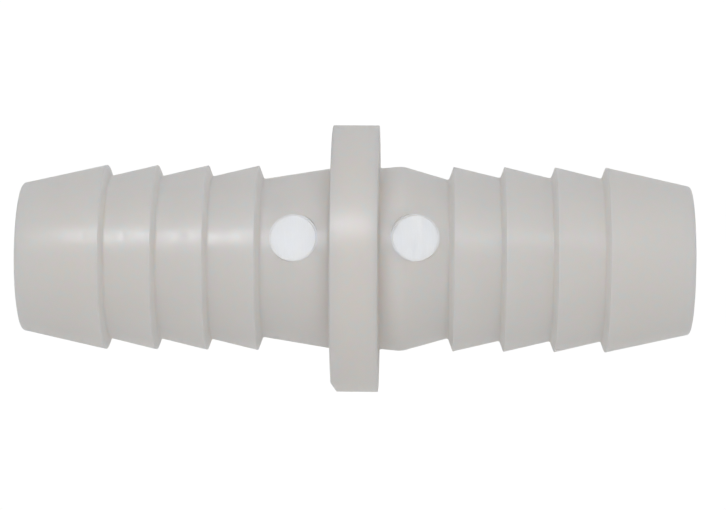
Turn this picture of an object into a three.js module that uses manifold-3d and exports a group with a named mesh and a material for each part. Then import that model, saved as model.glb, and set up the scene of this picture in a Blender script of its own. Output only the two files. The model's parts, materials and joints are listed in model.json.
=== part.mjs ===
// Straight barbed hose joiner, moulded in one piece: two barbed tails with a round collar between
// them and a bore straight through. Millimetres. The bore runs along X, the origin is the middle
// of the collar on the bore's axis, and the two round ejector pads face +Z.

import * as THREE from 'three';
import { mergeVertices } from 'three/addons/utils/BufferGeometryUtils.js';
import Module from 'manifold-3d';

// Driving dimensions
const overallLength = 75.0;
const collarDiameter = 30.0;
const collarWidth = 5.3;
const collarRootFillet = 0.35; // small enough to leave the hose stop faces flat above the necks

const barbCount = 4; // on each tail
const barbDiameter = 20.8; // over the barb tips
const grooveDiameter = 18.3; // at the root behind each barb
const neckGrooveDiameter = 17.8; // the root beside either neck is a little deeper
const rimDiameter = 16.6; // at the open end of a tail
const firstBarbTip = 10.95; // from the middle of the collar
const barbPitch = 5.7;
const shoulderLean = THREE.MathUtils.degToRad(20); // of a barb's back face, from square
const rimChamfer = 0.25;

const neckDiameter = 20.3; // where either neck meets the collar
const swellDiameter = 20.8; // fullest ring of the right neck
const swellPosition = 5.2; // of that ring, from the middle of the collar

const boreMiddleDiameter = 13.4; // where the two core pins met
const boreEndDiameter = 14.0; // the bore opens towards each end, for draft
const boreChamfer = 0.3;

const padDiameter = 5.3; // ejector pin marks
const padPosition = 6.7; // either side of the middle of the collar
const leftPadHeight = 9.35; // of the flat pad face above the bore's axis
const rightPadHeight = 9.7;
const padRoot = 8.3; // how far down the pads are part of the wall

const roundSegments = 64;
const padSegments = 40;

const naturalPlastic = new THREE.MeshStandardMaterial({
  name: 'natural_translucent_plastic',
  color: 0xd6d4cf,
  roughness: 0.42,
  metalness: 0.0,
});

// Each outline point is (distance along the axis, distance from the axis).
const point = (along, out) => new THREE.Vector2(along, out);

// Barbs and open end of one tail, drawn outwards from the groove beside the neck.
function tailOutline() {
  const tip = barbDiameter / 2;
  const rim = rimDiameter / 2;
  const end = overallLength / 2;
  const coneSlope = (tip - rim) / (end - firstBarbTip - (barbCount - 1) * barbPitch);

  const outline = [];
  for (let barb = 0; barb < barbCount; barb += 1) {
    const tipAlong = firstBarbTip + barb * barbPitch;
    const groove = (barb === 0 ? neckGrooveDiameter : grooveDiameter) / 2;
    const shoulderRun = (tip - groove) * Math.tan(shoulderLean);
    outline.push(point(tipAlong - shoulderRun, groove), point(tipAlong, tip));
  }
  outline.push(point(end - rimChamfer, rim + coneSlope * rimChamfer));
  outline.push(point(end, rim - rimChamfer));
  return outline;
}

// One face of the collar and the fillet at its root, from the collar's edge to the neck.
function collarOutline() {
  const face = collarWidth / 2;
  const neck = neckDiameter / 2;
  return [
    point(face, collarDiameter / 2),
    point(face, neck + collarRootFillet),
    point(face + collarRootFillet, neck),
  ];
}

// Outer surface from the collar to the end of the left tail: the neck is a plain cone.
function leftOutline() {
  return [...collarOutline(), ...tailOutline()];
}

// Outer surface from the collar to the end of the right tail: the neck swells a little beyond
// the collar and then tapers to the groove.
function rightOutline() {
  return [
    ...collarOutline(),
    point(swellPosition, swellDiameter / 2),
    ...tailOutline(),
  ];
}

// Bore from the right end to the left end, narrowest in the middle.
function boreOutline() {
  const end = overallLength / 2;
  const mouth = boreEndDiameter / 2;
  return [
    point(end, mouth + boreChamfer),
    point(end - boreChamfer, mouth),
    point(0, boreMiddleDiameter / 2),
    point(-end + boreChamfer, mouth),
    point(-end, mouth + boreChamfer),
  ];
}

// The whole section turned about the bore's axis, which is then laid along X.
function turnedBody() {
  const left = leftOutline().reverse().map((p) => point(-p.x, p.y));
  const section = [...left, ...rightOutline(), ...boreOutline()];
  section.push(section[0].clone());
  const turned = section.map((p) => new THREE.Vector2(p.y, p.x));
  return new THREE.LatheGeometry(turned, roundSegments).rotateZ(-Math.PI / 2);
}

// A round post of the pad's diameter standing between two heights above the bore's axis.
function padPost(along, low, high) {
  const post = new THREE.CylinderGeometry(padDiameter / 2, padDiameter / 2, high - low, padSegments);
  return post.rotateX(Math.PI / 2).translate(along, 0, (low + high) / 2);
}

const wasm = await Module();
wasm.setup();

function toSolid(geometry) {
  const bare = geometry.clone();
  bare.deleteAttribute('normal');
  bare.deleteAttribute('uv');
  const merged = mergeVertices(bare, 1e-4);
  return new wasm.Manifold(
    new wasm.Mesh({
      numProp: 3,
      vertProperties: new Float32Array(merged.attributes.position.array),
      triVerts: new Uint32Array(merged.index.array),
    }),
  );
}

function toGeometry(solid) {
  const mesh = solid.getMesh();
  const geometry = new THREE.BufferGeometry();
  geometry.setAttribute('position', new THREE.BufferAttribute(mesh.vertProperties, 3));
  geometry.setIndex(new THREE.BufferAttribute(mesh.triVerts, 1));
  geometry.computeVertexNormals();
  return geometry;
}

// Each ejector pin left a flat disc square to +Z: sunk into the neck on the collar side, where the
// cone is higher than the disc, and proud of it on the tail side.
function withPad(body, along, height) {
  const clearance = toSolid(padPost(along, height, collarDiameter / 2));
  const disc = toSolid(padPost(along, padRoot, height));
  return body.subtract(clearance).add(disc);
}

function hoseJoiner() {
  let body = toSolid(turnedBody());
  body = withPad(body, -padPosition, leftPadHeight);
  body = withPad(body, padPosition, rightPadHeight);
  const mesh = new THREE.Mesh(toGeometry(body), naturalPlastic);
  mesh.name = 'hose_joiner';
  return mesh;
}

const joiner = new THREE.Group();
joiner.add(hoseJoiner());

export default joiner;
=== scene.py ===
# %% [markdown]
# # A one-piece barbed hose joiner in natural plastic
# The joiner is a single injection moulding: two barbed tails, a plain round stop collar between
# them and a bore from end to end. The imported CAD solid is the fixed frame, and it already has every
# main size. Here it is replaced by one finer moulding of the same size, with rounded barb tips, root
# fillets, a parting line, ejector pads and a trimmed gate, in a translucent finish.

# %% Load the frame
import json
import math

import bmesh
import bpy
from mathutils import Matrix, Vector


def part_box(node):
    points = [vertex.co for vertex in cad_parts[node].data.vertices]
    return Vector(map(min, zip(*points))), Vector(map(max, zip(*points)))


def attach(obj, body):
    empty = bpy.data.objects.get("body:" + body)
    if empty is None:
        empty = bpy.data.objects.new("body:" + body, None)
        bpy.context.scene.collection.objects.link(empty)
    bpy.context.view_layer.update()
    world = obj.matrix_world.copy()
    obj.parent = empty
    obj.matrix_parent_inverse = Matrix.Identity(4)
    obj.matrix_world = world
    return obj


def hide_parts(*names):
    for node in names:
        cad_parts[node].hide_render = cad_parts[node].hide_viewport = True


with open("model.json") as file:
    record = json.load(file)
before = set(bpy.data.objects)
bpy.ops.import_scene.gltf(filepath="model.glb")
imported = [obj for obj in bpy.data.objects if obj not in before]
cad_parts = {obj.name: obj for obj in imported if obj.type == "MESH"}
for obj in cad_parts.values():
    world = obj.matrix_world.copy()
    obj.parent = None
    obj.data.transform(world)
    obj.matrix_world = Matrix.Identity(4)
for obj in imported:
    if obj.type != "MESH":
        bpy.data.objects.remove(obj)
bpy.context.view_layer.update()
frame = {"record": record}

# %% [markdown]
# ## Sizes
# The overall length, the collar's radius and its two stop faces are read from the frame, so the fine
# moulding can't drift from the CAD one. The rest are the joiner's own sizes in millimetres, written
# once and turned into metres by `MM`. "Along" always means along the bore, from the middle of the
# collar, and "out" means away from the bore's axis.

# %% Sizes taken from the frame, and the joiner's own
MM = 0.001
ROUND_SIDES = 192

joiner_low, joiner_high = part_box("hose_joiner")
mounts = {mount["name"]: Vector(mount["pos_m"]) for mount in frame["record"]["mounts"]}

TAIL_END = joiner_high.x
COLLAR_OUT = joiner_high.z
COLLAR_FACE = mounts["right_hose_stop"].x

BARB_COUNT = 4
BARB_OUT = 10.4 * MM
GROOVE_OUT = 9.15 * MM
NECK_GROOVE_OUT = 8.9 * MM
RIM_OUT = 8.3 * MM
FIRST_BARB = 10.95 * MM
BARB_PITCH = 5.7 * MM
SHOULDER_LEAN = math.radians(20)

NECK_OUT = 10.15 * MM
NECK_END = FIRST_BARB - (BARB_OUT - NECK_GROOVE_OUT) * math.tan(SHOULDER_LEAN)
SWELL_OUT = 10.4 * MM
SWELL_ALONG = 5.2 * MM

BORE_END_OUT = 7.0 * MM
BORE_MIDDLE_OUT = 6.7 * MM

print("tail end", TAIL_END, "collar face", COLLAR_FACE, "collar radius", COLLAR_OUT)

# %% [markdown]
# ## The section as a list of corners
# A turned shape is easiest to think of as its section: one corner after another, each with the
# rounding that the mould gave it. Sharp barb tips grip the hose, so they get a tiny rounding; a
# groove's root is softer, because a square root would crack. The same list serves both tails, once
# as it is and once mirrored, and only the necks differ: the left one is a plain cone, and the right
# one swells beside the collar before it tapers.

# %% Corners of the section
TIP, ROOT, RIM, COLLAR_EDGE, COLLAR_ROOT = 0.08 * MM, 0.22 * MM, 0.28 * MM, 0.11 * MM, 0.35 * MM
SWELL, MOUTH, PLAIN = 0.50 * MM, 0.30 * MM, 0.0
COLLAR_DRAFT = 0.05 * MM


def tail_corners():
    """Barbs and open end of a tail, outwards from the groove beside the neck."""
    corners = []
    for barb in range(BARB_COUNT):
        tip = FIRST_BARB + barb * BARB_PITCH
        groove = GROOVE_OUT if barb else NECK_GROOVE_OUT
        shoulder_run = (BARB_OUT - groove) * math.tan(SHOULDER_LEAN)
        corners += [(tip - shoulder_run, groove, ROOT), (tip, BARB_OUT, TIP)]
    return corners + [(TAIL_END, RIM_OUT, RIM)]


def collar_corners():
    """One side of the collar, from its crown to the neck; the face leans by the mould's draft."""
    return [
        (COLLAR_FACE - COLLAR_DRAFT, COLLAR_OUT, COLLAR_EDGE),
        (COLLAR_FACE, NECK_OUT, COLLAR_ROOT),
    ]


right_side = collar_corners() + [(SWELL_ALONG, SWELL_OUT, SWELL)] + tail_corners()
left_side = [(-along, out, soft) for along, out, soft in collar_corners() + tail_corners()]
bore_side = [
    (TAIL_END, BORE_END_OUT, MOUTH),
    (0.0, BORE_MIDDLE_OUT, PLAIN),
    (-TAIL_END, BORE_END_OUT, MOUTH),
]
section = left_side[::-1] + right_side + bore_side
print(len(section), "corners in the section")

# %% [markdown]
# ## Pulling the moulding out of one ring
# A lathe-like shape can be spun from a profile, or pulled ring by ring. Ring by ring is used here:
# a circle is added at the rim of the left tail, and each corner of the section is one extrude, one
# slide along the bore and one scaling about it. Every vertex then sits on a straight line along the
# moulding, which the parting line needs later. The last ring is bridged back to the first.

# %% Edit-mode helpers
def only(piece):
    """Makes one object the only selected one and the active one."""
    bpy.ops.object.select_all(action="DESELECT")
    piece.select_set(True)
    bpy.context.view_layer.objects.active = piece


def select_where(piece, kind, test):
    """In edit mode, selects the vertices, edges or faces that pass the test, and counts them."""
    bpy.ops.mesh.select_all(action="DESELECT")
    modes = {"verts": "VERT", "edges": "EDGE", "faces": "FACE"}
    bpy.ops.mesh.select_mode(type=modes[kind])
    mesh = bmesh.from_edit_mesh(piece.data)
    chosen = [part for part in getattr(mesh, kind) if test(part)]
    for part in chosen:
        part.select_set(True)
    mesh.select_flush_mode()
    bmesh.update_edit_mesh(piece.data)
    return len(chosen)


def out_of(point):
    """A point's distance from the bore's axis."""
    return math.hypot(point.y, point.z)


def pull_ring(start, end):
    """Extrudes the selected ring from one (along, out) place to another."""
    bpy.ops.mesh.extrude_region_move(TRANSFORM_OT_translate={"value": (end[0] - start[0], 0, 0)})
    size = end[1] / start[1]
    bpy.ops.transform.resize(value=(1, size, size), center_override=(end[0], 0, 0))


def open_edges(piece):
    """How many edges don't join exactly two faces; a closed piece has none."""
    mesh = bmesh.new()
    mesh.from_mesh(piece.data)
    count = sum(not edge.is_manifold for edge in mesh.edges)
    mesh.free()
    return count


# %% Pull the rings and close the skin
first = section[0]
bpy.ops.object.select_all(action="DESELECT")
bpy.ops.mesh.primitive_circle_add(
    vertices=ROUND_SIDES,
    radius=first[1],
    fill_type="NOTHING",
    location=(first[0], 0, 0),
    rotation=(0, math.pi / 2, 0),
)
joiner = bpy.context.active_object
joiner.name = "joiner_moulding"
bpy.ops.object.transform_apply(location=True, rotation=True, scale=True)

bpy.ops.object.mode_set(mode="EDIT")
bpy.ops.mesh.select_all(action="SELECT")
for before, after in zip(section, section[1:]):
    pull_ring(before, after)
bpy.ops.mesh.select_all(action="DESELECT")
bpy.ops.mesh.select_mode(type="EDGE")
bpy.ops.mesh.select_non_manifold()
bpy.ops.mesh.bridge_edge_loops()
bpy.ops.mesh.select_all(action="SELECT")
bpy.ops.mesh.normals_make_consistent(inside=False)
bpy.ops.object.mode_set(mode="OBJECT")
print("faces in the square-edged moulding:", len(joiner.data.polygons))

# %% [markdown]
# ## Rounding the corners
# The corners could all take one Bevel modifier, but the real ones differ: tips are crisp, roots and
# the swell are soft. So the rings of one kind are selected by their place and bevelled together in
# edit mode, kind by kind.

# %% Bevel the rings, one kind at a time
NEAR = 0.002 * MM


def is_ring_edge(edge, corners):
    """True for an edge that runs round the bore through one of the corners."""
    a, b = (vertex.co for vertex in edge.verts)
    if abs(a.x - b.x) > NEAR:
        return False
    return any(
        abs(a.x - along) < NEAR and abs(out_of(a) - out) < NEAR and abs(out_of(b) - out) < NEAR
        for along, out, _ in corners
    )


def round_corners(softness, segments):
    corners = [corner for corner in section if corner[2] == softness]
    found = select_where(joiner, "edges", lambda edge: is_ring_edge(edge, corners))
    bpy.ops.mesh.bevel(offset=softness, segments=segments, affect="EDGES")
    print(len(corners), "rings rounded by", round(softness / MM, 2), "mm:", found, "edges")


only(joiner)
bpy.ops.object.mode_set(mode="EDIT")
for softness, segments in ((TIP, 3), (ROOT, 3), (RIM, 4), (COLLAR_EDGE, 3), (COLLAR_ROOT, 4),
                           (SWELL, 5), (MOUTH, 4)):
    round_corners(softness, segments)
bpy.ops.object.mode_set(mode="OBJECT")
print("faces after rounding:", len(joiner.data.polygons), "open edges:", open_edges(joiner))

# %% [markdown]
# The necks are still covered by long thin faces. A pad let into those would pull the shading across
# the whole neck, so the long edges beside the collar are cut into short ones first, the longest
# edges before the shorter ones, so that all the steps come out alike. Subdividing only edges that
# run along the bore adds whole rings, as loop cuts would.

# %% Cut the necks into short rings
NECK_STEP = 0.3 * MM
NECK_LENGTHS = (7, 4, 3, 2)  # millimetres; an edge within 1 mm under a length is cut as that one


def long_neck_edge(edge):
    a, b = (vertex.co for vertex in edge.verts)
    on_neck = max(abs(a.x), abs(b.x)) < NECK_END and min(abs(a.x), abs(b.x)) > COLLAR_FACE
    outside = min(out_of(a), out_of(b)) > RIM_OUT
    return on_neck and outside and abs(a.x - b.x) > MM


bpy.ops.object.mode_set(mode="EDIT")
for length in NECK_LENGTHS:
    found = select_where(
        joiner,
        "edges",
        lambda edge: long_neck_edge(edge) and edge.calc_length() > (length - 1) * MM,
    )
    if found:
        bpy.ops.mesh.subdivide(number_cuts=round(length * MM / NECK_STEP) - 1)
bpy.ops.object.mode_set(mode="OBJECT")
print("faces with the necks cut:", len(joiner.data.polygons), "open edges:", open_edges(joiner))

# %% [markdown]
# ## Parting line
# The two halves of the mould met in the plane square to the way the pads face, and left a hair-fine
# raised line along both sides. The lengthwise edges in that plane are bevelled into a narrow strip,
# and the strip's middle is lifted by a Displace modifier whose cloud pattern makes the line come
# and go, as flash does.

# %% Raise the parting line
FLASH_HALF_WIDTH = 0.05 * MM
FLASH_HEIGHT = 0.05 * MM
FLASH_CLOUD = 2.2 * MM
FLASH_LEVEL = 0.25  # cloud values under this one sink a little instead of rising
IN_PLANE = 0.0001 * MM


def in_parting_plane(vertex):
    return abs(vertex.co.z) < IN_PLANE


def on_outside(point):
    """True where a hose or hand can touch: beyond the bore and inside the tail ends."""
    return out_of(point) > RIM_OUT - RIM and abs(point.x) < TAIL_END - RIM


bpy.ops.object.mode_set(mode="EDIT")
found = select_where(joiner, "edges", lambda edge: all(in_parting_plane(v) for v in edge.verts))
bpy.ops.mesh.bevel(offset=FLASH_HALF_WIDTH, segments=2, affect="EDGES")
bpy.ops.object.mode_set(mode="OBJECT")

flash = joiner.vertex_groups.new(name="flash")
outer = [v.index for v in joiner.data.vertices if in_parting_plane(v) and on_outside(v.co)]
flash.add(outer, 1, "ADD")
clouds = bpy.data.textures.new("flash_unevenness", "CLOUDS")
clouds.noise_scale = FLASH_CLOUD
lift = joiner.modifiers.new("flash", "DISPLACE")
lift.texture = clouds
lift.texture_coords = "LOCAL"
lift.vertex_group = "flash"
lift.mid_level = FLASH_LEVEL
lift.strength = FLASH_HEIGHT
only(joiner)
bpy.ops.object.modifier_apply(modifier=lift.name)
print("parting line edges:", found, "open edges:", open_edges(joiner))

# %% [markdown]
# ## Trimmed corner of the collar
# The collar has one small slanted flat on its left edge, on the side away from the pads' upper rim,
# where the moulding was trimmed. A blade takes it off in one flat cut, so a block is laid with one
# face on the cut and subtracted. The blade wasn't held quite square to the bore, so the cut runs a
# little askew. The block is short, so that it stays clear of the neck.

# %% Slice the trimmed corner
TRIM_ALONG = 0.64 * MM
TRIM_OUT = 1.3 * MM
TRIM_TURN = math.radians(16.8)
TRIM_SKEW = math.radians(1.8)
BLADE = Vector((3, 14, 2)) * MM


def combine(target, tool, operation):
    """Cuts or joins another closed mesh, then deletes it."""
    step = target.modifiers.new(operation.lower(), "BOOLEAN")
    step.object = tool
    step.operation = operation
    step.solver = "EXACT"
    only(target)
    bpy.ops.object.modifier_apply(modifier=step.name)
    bpy.data.objects.remove(tool, do_unlink=True)


down = Vector((0, -math.cos(TRIM_TURN), -math.sin(TRIM_TURN)))
edge_on_face = Vector((-COLLAR_FACE, 0, 0)) + down * (COLLAR_OUT - TRIM_OUT)
edge_on_crown = Vector((-COLLAR_FACE + TRIM_ALONG, 0, 0)) + down * COLLAR_OUT
tangent = Vector((1, 0, 0)).cross(down) - Vector((math.tan(TRIM_SKEW), 0, 0))
away = tangent.cross(edge_on_crown - edge_on_face).normalized()
tangent.normalize()
slope = tangent.cross(away)

bpy.ops.object.select_all(action="DESELECT")
bpy.ops.mesh.primitive_cube_add(
    size=1,
    location=(edge_on_face + edge_on_crown) / 2 + away * BLADE.z / 2,
    rotation=Matrix((slope, tangent, away)).transposed().to_euler(),
    scale=BLADE,
)
blade = bpy.context.active_object
bpy.ops.object.transform_apply(location=True, rotation=True, scale=True)
combine(joiner, blade, "DIFFERENCE")
print("faces after the trim:", len(joiner.data.polygons), "open edges:", open_edges(joiner))

# %% [markdown]
# ## Ejector pads
# Two pins pushed the moulding out, and each left a flat disc square to the way the mould opened.
# The neck is a cone, so the disc is sunk on the collar side and proud on the tail side. Each one
# is a cylinder with its top inset and pressed in, which leaves the fine bead that plastic forms in
# the gap round a pin. A wider cutter first clears the neck above it; then the disc is joined on.

# %% Let the two pads into the necks
POST_SIDES = 96
PAD_OUT = 2.65 * MM
PAD_ALONG = 6.7 * MM
PAD_HEIGHTS = {-1: 9.35 * MM, 1: 9.7 * MM}
PAD_ROOT = 8.2 * MM
PAD_CLEARANCE = 0.06 * MM
PAD_MOAT = 0.07 * MM
BEAD_WIDTH = 0.13 * MM
BEAD_HEIGHT = 0.05 * MM


def faces_up(face):
    return face.normal.z > 0.98


def add_post(name, along, out, low, high):
    bpy.ops.object.select_all(action="DESELECT")
    bpy.ops.mesh.primitive_cylinder_add(
        vertices=POST_SIDES, radius=out, depth=high - low, location=(along, 0, (low + high) / 2)
    )
    post = bpy.context.active_object
    post.name = name
    bpy.ops.object.transform_apply(location=True, rotation=True, scale=True)
    return post


def bead_the_rim(post):
    """Presses the top of a post in, inside a narrow bead."""
    only(post)
    bpy.ops.object.mode_set(mode="EDIT")
    select_where(post, "faces", faces_up)
    bpy.ops.mesh.inset(thickness=BEAD_WIDTH)
    bpy.ops.mesh.inset(thickness=BEAD_WIDTH / 3)
    bpy.ops.transform.translate(value=(0, 0, -BEAD_HEIGHT))
    bpy.ops.object.mode_set(mode="OBJECT")


for side, height in PAD_HEIGHTS.items():
    along = side * PAD_ALONG
    cutter = add_post("pad_clearance", along, PAD_OUT + PAD_CLEARANCE, height - PAD_MOAT, COLLAR_OUT)
    combine(joiner, cutter, "DIFFERENCE")
    pad = add_post("pad", along, PAD_OUT, PAD_ROOT, height)
    bead_the_rim(pad)
    combine(joiner, pad, "UNION")
print("faces with the pads:", len(joiner.data.polygons), "open edges:", open_edges(joiner))

# %% [markdown]
# ## Finishes
# The plastic has no pigment, so light wanders through several millimetres of it before it comes out
# again: subsurface scattering at full weight, with a 4 mm scale and mostly forward turns. A shorter
# scale would draw every groove as a dark line, and the real plastic hides them. The moulded skin
# also has faint cloudy differences of tint, a satin roughness that varies in rings, and the fine
# turning marks of the mould running round the tails. No roughness goes under 0.29, where this pale
# plastic came out blotchy. All patterns read Object coordinates, so they stay on the part.

# %% A shared start for every finish
DEPTH = 4.0 * MM
DEPTH_BY_COLOUR = (1.0, 0.94, 0.84)  # blue light gets less far than red
FORWARD_TURNS = 0.8
PLASTIC_IOR = 1.5


def new_finish(name):
    """A translucent plastic with its nodes, links and shader, and the place on the part."""
    material = bpy.data.materials.new(name)
    material.use_nodes = True
    nodes, links = material.node_tree.nodes, material.node_tree.links
    shader = nodes["Principled BSDF"]
    shader.inputs["Subsurface Weight"].default_value = 1.0
    shader.inputs["Subsurface Radius"].default_value = DEPTH_BY_COLOUR
    shader.inputs["Subsurface Scale"].default_value = DEPTH
    shader.inputs["Subsurface Anisotropy"].default_value = FORWARD_TURNS
    shader.inputs["IOR"].default_value = PLASTIC_IOR
    place = nodes.new("ShaderNodeTexCoord").outputs["Object"]
    return material, nodes, links, shader, place


def noise(nodes, links, place, feature, detail=2.0, stretch=(1, 1, 1), turn=0.0):
    """A noise pattern whose features are that many metres across, stretched along the axes."""
    mapping = nodes.new("ShaderNodeMapping")
    mapping.inputs["Rotation"].default_value = (0, 0, turn)
    mapping.inputs["Scale"].default_value = [1 / amount for amount in stretch]
    links.new(place, mapping.inputs["Vector"])
    pattern = nodes.new("ShaderNodeTexNoise")
    pattern.inputs["Scale"].default_value = 1 / feature
    pattern.inputs["Detail"].default_value = detail
    links.new(mapping.outputs["Vector"], pattern.inputs["Vector"])
    return pattern.outputs["Fac"]


def ramp(nodes, links, factor, stops):
    """Turns a 0 to 1 pattern into colours, from a list of (position, colour)."""
    colours = nodes.new("ShaderNodeValToRGB")
    while len(colours.color_ramp.elements) < len(stops):
        colours.color_ramp.elements.new(0.5)
    for element, (position, colour) in zip(colours.color_ramp.elements, stops):
        element.position = position
        element.color = (*colour, 1)
    links.new(factor, colours.inputs["Fac"])
    return colours.outputs["Color"]


def spread(nodes, links, factor, low, high):
    """Maps the middle of a noise pattern, which is 0.3 to 0.7, to a range of values."""
    mapped = nodes.new("ShaderNodeMapRange")
    mapped.inputs["From Min"].default_value = 0.3
    mapped.inputs["From Max"].default_value = 0.7
    mapped.inputs["To Min"].default_value = low
    mapped.inputs["To Max"].default_value = high
    links.new(factor, mapped.inputs["Value"])
    return mapped.outputs["Result"]


def add_bump(nodes, links, shader, height, strength, distance, under=None):
    """Raises fine relief by a pattern, over another relief if one is given."""
    bump = nodes.new("ShaderNodeBump")
    bump.inputs["Strength"].default_value = strength
    bump.inputs["Distance"].default_value = distance
    links.new(height, bump.inputs["Height"])
    if under is not None:
        links.new(under, bump.inputs["Normal"])
    links.new(bump.outputs["Normal"], shader.inputs["Normal"])
    return bump.outputs["Normal"]


# %% Moulded skin
WARM, COOL, ROSE = (0.79, 0.769, 0.742), (0.768, 0.775, 0.768), (0.80, 0.763, 0.764)
SKIN_GLOSS, SKIN_ROUGHNESS = 0.2, (0.29, 0.44)
TINT_CLOUD, RING_WIDTH, TURNING_WIDTH, GRAIN = 0.7 * MM, 0.5 * MM, 0.12 * MM, 0.18 * MM
SKIN_RELIEF = 0.004 * MM


def moulded_skin():
    material, nodes, links, shader, place = new_finish("natural_moulded_skin")
    cloud = noise(nodes, links, place, TINT_CLOUD, detail=3)
    tint = ramp(nodes, links, cloud, [(0.35, COOL), (0.5, WARM), (0.65, ROSE)])
    links.new(tint, shader.inputs["Base Color"])
    rings = noise(nodes, links, place, RING_WIDTH, detail=1, stretch=(1, 8, 8))
    links.new(spread(nodes, links, rings, *SKIN_ROUGHNESS), shader.inputs["Roughness"])
    shader.inputs["Specular IOR Level"].default_value = SKIN_GLOSS
    turning = noise(nodes, links, place, TURNING_WIDTH, stretch=(1, 30, 30))
    grain = noise(nodes, links, place, GRAIN, detail=2)
    lined = add_bump(nodes, links, shader, turning, 0.25, SKIN_RELIEF)
    add_bump(nodes, links, shader, grain, 0.3, SKIN_RELIEF, under=lined)
    return material


# %% [markdown]
# The pin ends were ground flat, and their slanting grinding marks are printed into the pads. The pads
# are also given a lighter, bluer colour than the skin: a painted highlight for the bright reflection
# on the flat discs. The core pins for the bore were polished lengthwise, so the bore has long fine
# streaks.

# %% Ground pads, with a painted highlight
# Both pad colours are lighter and bluer than the skin's: a painted highlight for the reflection on
# the flat discs. The step between them is the real grinding streaks.
PAD_DULL_PAINTED_HIGHLIGHT, PAD_BRIGHT_PAINTED_HIGHLIGHT = (0.79, 0.785, 0.79), (0.82, 0.815, 0.83)
PAD_GLOSS, PAD_ROUGHNESS = 0.24, (0.29, 0.38)
GRINDING_WIDTH, GRINDING_TURN, GRINDING_RELIEF = 0.16 * MM, math.radians(40), 0.006 * MM


def ground_pad():
    material, nodes, links, shader, place = new_finish("ground_pad")
    streaks = noise(nodes, links, place, GRINDING_WIDTH, stretch=(1, 9, 1), turn=GRINDING_TURN)
    # The streak ramp runs between the two pad colours, both of which carry the painted highlight.
    tint = ramp(nodes, links, streaks, [(0.3, PAD_DULL_PAINTED_HIGHLIGHT), (0.7, PAD_BRIGHT_PAINTED_HIGHLIGHT)])
    links.new(tint, shader.inputs["Base Color"])
    links.new(spread(nodes, links, streaks, *PAD_ROUGHNESS), shader.inputs["Roughness"])
    add_bump(nodes, links, shader, streaks, 0.3, GRINDING_RELIEF)
    shader.inputs["Specular IOR Level"].default_value = PAD_GLOSS
    return material


# %% Drawn bore
BORE_ROUGHNESS = (0.29, 0.36)
POLISH_WIDTH, POLISH_RELIEF = 0.15 * MM, 0.005 * MM


def drawn_bore():
    material, nodes, links, shader, place = new_finish("drawn_bore")
    streaks = noise(nodes, links, place, POLISH_WIDTH, stretch=(40, 1, 1))
    tint = ramp(nodes, links, streaks, [(0.3, COOL), (0.7, WARM)])
    links.new(tint, shader.inputs["Base Color"])
    links.new(spread(nodes, links, streaks, *BORE_ROUGHNESS), shader.inputs["Roughness"])
    add_bump(nodes, links, shader, streaks, 0.3, POLISH_RELIEF)
    return material


# %% [markdown]
# The finished moulding gets its finishes face by face: a pad's faces are found by their height,
# their place and the way they look, and the bore's by their distance from the axis.

# %% Put each finish on its faces
SMOOTH_ANGLE = math.radians(32)
LEVEL_SLACK = 0.1 * MM  # a pad's face lies this little under its bead at most
BORE_SLACK = 0.005 * MM


def pad_face(face):
    level = face.center.z > PAD_HEIGHTS[-1] - LEVEL_SLACK and faces_up(face)
    beside = math.hypot(abs(face.center.x) - PAD_ALONG, face.center.y)
    return level and beside < PAD_OUT


def bore_face(face):
    return out_of(face.center) < BORE_END_OUT - BORE_SLACK


for finish in (moulded_skin(), ground_pad(), drawn_bore()):
    joiner.data.materials.append(finish)
for face in joiner.data.polygons:
    face.material_index = 1 if pad_face(face) else 2 if bore_face(face) else 0
only(joiner)
bpy.ops.object.shade_smooth_by_angle(angle=SMOOTH_ANGLE)
print("pad faces:", sum(face.material_index == 1 for face in joiner.data.polygons))

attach(joiner, "root")
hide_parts("hose_joiner")

# %% [markdown]
# ## Floor
# The joiner lies on its collar on a plain white floor. A floor bright enough to look pure white
# would also light the joiner from below until its edges faded into it. So the floor has two faces,
# switched by what kind of ray asks: the camera sees plain glowing white paper, and the joiner is
# lit by a dimmer one. Only the floor does this.

# %% Floor
FLOOR_SIDE = 6.0
PAPER_CLOUD = 0.2
PAPER_GLOW, SEEN_GLOW = 0.12, 1.02


def white_paper():
    material = bpy.data.materials.new("white_floor")
    material.use_nodes = True
    nodes, links = material.node_tree.nodes, material.node_tree.links
    shader = nodes["Principled BSDF"]
    cloud = noise(nodes, links, nodes.new("ShaderNodeTexCoord").outputs["Object"], PAPER_CLOUD)
    tint = ramp(nodes, links, cloud, [(0.3, (0.9, 0.9, 0.9)), (0.7, (0.92, 0.92, 0.92))])
    links.new(tint, shader.inputs["Base Color"])
    shader.inputs["Roughness"].default_value = 0.9
    shader.inputs["Emission Color"].default_value = (1, 1, 1, 1)
    shader.inputs["Emission Strength"].default_value = PAPER_GLOW

    seen = nodes.new("ShaderNodeEmission")
    seen.inputs["Strength"].default_value = SEEN_GLOW
    switch = nodes.new("ShaderNodeMixShader")
    links.new(nodes.new("ShaderNodeLightPath").outputs["Is Camera Ray"], switch.inputs[0])
    links.new(shader.outputs["BSDF"], switch.inputs[1])
    links.new(seen.outputs["Emission"], switch.inputs[2])
    links.new(switch.outputs["Shader"], nodes["Material Output"].inputs["Surface"])
    return material


bpy.ops.object.select_all(action="DESELECT")
bpy.ops.mesh.primitive_plane_add(size=FLOOR_SIDE, location=(0, 0, -COLLAR_OUT))
floor = bpy.context.active_object
floor.name = "floor"
floor.data.materials.append(white_paper())
print("floor at", round(floor.location.z / MM, 2), "mm")

# %% [markdown]
# ## Camera
# The camera looks nearly straight down on the pads, leaning 14 degrees to the front, and stands a
# little to the right. It is close enough to the part for some perspective: the collar's crown looks
# slightly wider than its edge.

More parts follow.
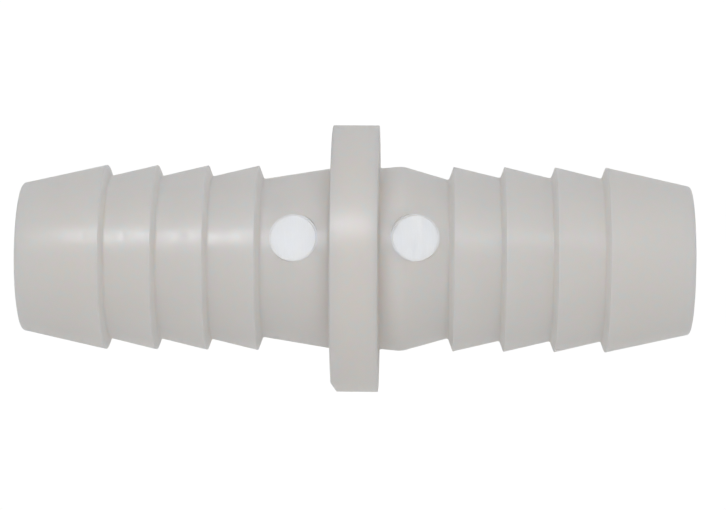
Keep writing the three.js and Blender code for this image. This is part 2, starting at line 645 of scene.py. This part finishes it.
# %% Camera
CAMERA_DISTANCE = 310 * MM
CAMERA_ELEVATION = math.radians(76)
CAMERA_ASIDE = 6.8 * MM
AIM_ASIDE, AIM_UP = 0.8 * MM, 0.4 * MM
CAMERA_ROLL = math.radians(0.38)
FOCAL_LENGTH, SENSOR_WIDTH = 136.4, 36.0

view_back = Vector((0, -math.cos(CAMERA_ELEVATION), math.sin(CAMERA_ELEVATION)))
view_up = Vector((0, math.sin(CAMERA_ELEVATION), math.cos(CAMERA_ELEVATION)))
aim = Vector((AIM_ASIDE, 0, 0)) + view_up * AIM_UP

lens = bpy.data.cameras.new("camera")
lens.sensor_width = SENSOR_WIDTH
lens.lens = FOCAL_LENGTH
lens.clip_start = 0.01
camera = bpy.data.objects.new("camera", lens)
bpy.context.scene.collection.objects.link(camera)
camera.location = Vector((CAMERA_ASIDE, 0, 0)) + view_up * AIM_UP + view_back * CAMERA_DISTANCE
backwards = (camera.location - aim).normalized()
rightwards = view_up.cross(backwards).normalized()
upright = Matrix((rightwards, backwards.cross(rightwards), backwards)).transposed()
camera.rotation_euler = (upright @ Matrix.Rotation(CAMERA_ROLL, 3, "Z")).to_euler()
bpy.context.scene.camera = camera
print("camera at, mm:", [round(side / MM, 1) for side in camera.location])

# %% [markdown]
# ## Light
# A big soft light straight overhead does most of the work, because it throws no shadow of the
# collar on the necks; weak ones in front and behind and a white surround fill in. One long narrow
# strip, a little to the left, draws the soft bright line along the left tail, the collar and the
# pads. It only acts on gloss, and the overhead light only on the plastic's body, so that neither
# spoils the other. Every light's long side is turned along the bore: left to itself a light that
# hangs almost overhead may lie askew, and then so does the bright line.

# %% Light
WHITE, WARM_WHITE = (1, 1, 1), (1, 0.97, 0.88)
COOL_WHITE, STRIP_WHITE = (0.88, 0.94, 1), (0.88, 0.93, 1)
STRIP_POWER, OVERHEAD_POWER, FRONT_POWER, BACK_POWER = 1.5, 5.6, 0.85, 0.8
OVERHEAD_PLACE = Vector((0, 0, 1.2))
FRONT_PLACE, BACK_PLACE = Vector((0, -0.85, 0.85)), Vector((0.25, 0.85, 0.85))
STRIP_BEYOND = math.radians(28)
STRIP_LEFT = math.radians(10.5)
STRIP_DISTANCE = 310 * MM
STRIP_SIZE = (262 * MM, 11 * MM)
BOX_SIZE = (0.8, 0.8)
SURROUND = 0.22


def add_area(name, centre, size, power, colour):
    """A rectangular light that looks at the middle of the collar, its long side along the bore."""
    light = bpy.data.lights.new(name, "AREA")
    light.shape = "RECTANGLE"
    light.size, light.size_y = size
    light.energy = power
    light.color = colour
    lamp = bpy.data.objects.new(name, light)
    bpy.context.scene.collection.objects.link(lamp)
    away = centre.normalized()
    along = (Vector((1, 0, 0)) - away * away.x).normalized()
    lamp.location = centre
    lamp.rotation_euler = Matrix((along, away.cross(along), away)).transposed().to_euler()
    return lamp


strip_way = view_back * math.cos(STRIP_BEYOND) + view_up * math.sin(STRIP_BEYOND)
strip_place = (strip_way - Vector((math.tan(STRIP_LEFT), 0, 0))) * STRIP_DISTANCE
strip = add_area("strip_light", strip_place, STRIP_SIZE, STRIP_POWER, STRIP_WHITE)
strip.visible_diffuse = False
overhead = add_area("overhead_box", OVERHEAD_PLACE, BOX_SIZE, OVERHEAD_POWER, WHITE)
overhead.visible_glossy = False
add_area("front_box", FRONT_PLACE, BOX_SIZE, FRONT_POWER, WARM_WHITE)
add_area("back_box", BACK_PLACE, BOX_SIZE, BACK_POWER, COOL_WHITE)

world = bpy.data.worlds.new("white_surround")
bpy.context.scene.world = world
world.use_nodes = True
surround = world.node_tree.nodes["Background"]
surround.inputs["Color"].default_value = (*WHITE, 1)
surround.inputs["Strength"].default_value = SURROUND
bpy.context.scene.view_settings.view_transform = "Standard"
print("strip light at, mm:", [round(side / MM, 1) for side in strip.location])
